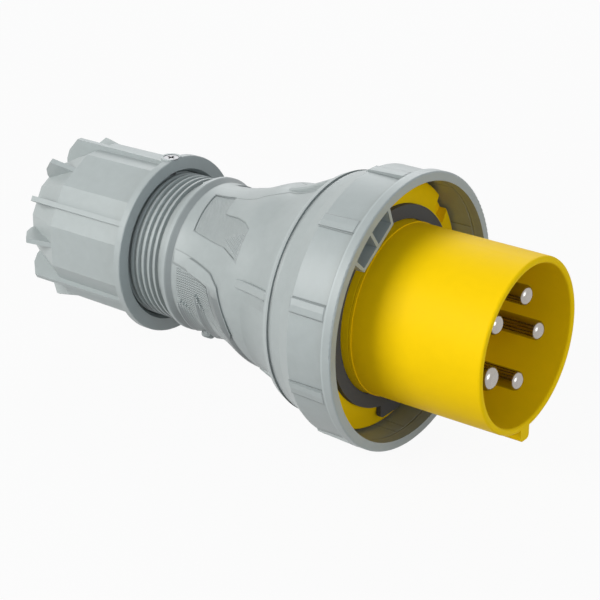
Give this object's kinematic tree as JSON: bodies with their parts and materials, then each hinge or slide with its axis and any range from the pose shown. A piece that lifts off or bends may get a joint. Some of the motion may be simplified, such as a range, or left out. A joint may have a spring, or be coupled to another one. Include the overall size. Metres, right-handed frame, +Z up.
{
  "type": "industrial plug",
  "caption": "Pin-and-sleeve power plug with a keyed sleeve, turned contact pins, a bayonet locking ring and a ribbed cable gland nut.",
  "frame": {"origin": "on the plug's axis, in the plane of the sealing face of the flange gasket", "axes": "+X out of the sleeve's mouth along the pins, +Z up with the sleeve's key at the bottom, +Y to the right seen from the mouth"},
  "size_m": [0.2362, 0.1144, 0.1144],
  "materials": {
    "housing_plastic": "fine satin light grey moulding",
    "ring_plastic": "satin light grey moulding",
    "nut_plastic": "satin light grey moulding",
    "carrier_plastic": "semi-gloss yellow moulding",
    "gasket_rubber": "matte dark grey rubber",
    "seal_rubber": "matte black rubber",
    "pin_plating": "nickel-plated brass, turned",
    "screw_steel": "zinc-plated steel",
    "retainer_plastic": "black glass-filled moulding",
    "basket_plastic": "dark grey moulding"
  },
  "bodies": {
    "plug_body": {"housing": "housing_plastic", "contact_carrier": "carrier_plastic", "flange_gasket": "gasket_rubber", "line_pin_1": "pin_plating", "line_pin_2": "pin_plating", "line_pin_3": "pin_plating", "neutral_pin": "pin_plating", "earth_pin": "pin_plating", "carrier_lock": "carrier_plastic", "housing_seal": "seal_rubber", "contact_retainer": "retainer_plastic", "retainer_screws": "screw_steel", "terminal_screws": "screw_steel", "earth_terminal_screws": "screw_steel", "cable_seal": "seal_rubber", "clamp_basket": "basket_plastic"},
    "locking_ring": {"bayonet_ring": "ring_plastic"},
    "slip_ring": {"thrust_ring": "basket_plastic"},
    "gland": {"gland_nut": "nut_plastic", "lock_screw": "screw_steel"}
  },
  "joints": [
    {"name": "ring_turn", "type": "hinge", "parent": "plug_body", "child": "locking_ring", "pos_m": [0, 0, 0], "axis": [1, 0, 0], "range_deg": [0, 60]},
    {"name": "gland_travel", "type": "slide", "parent": "plug_body", "child": "slip_ring", "axis": [1, 0, 0], "range_m": [0, 0.0121]},
    {"name": "gland_turn", "type": "hinge", "parent": "slip_ring", "child": "gland", "pos_m": [0, 0, 0], "axis": [1, 0, 0], "range_deg": [0, 1440]}
  ],
  "couplings": [
    {"joint": "gland_travel", "follows": "gland_turn", "m_per_rad": 0.00047746}
  ]
}
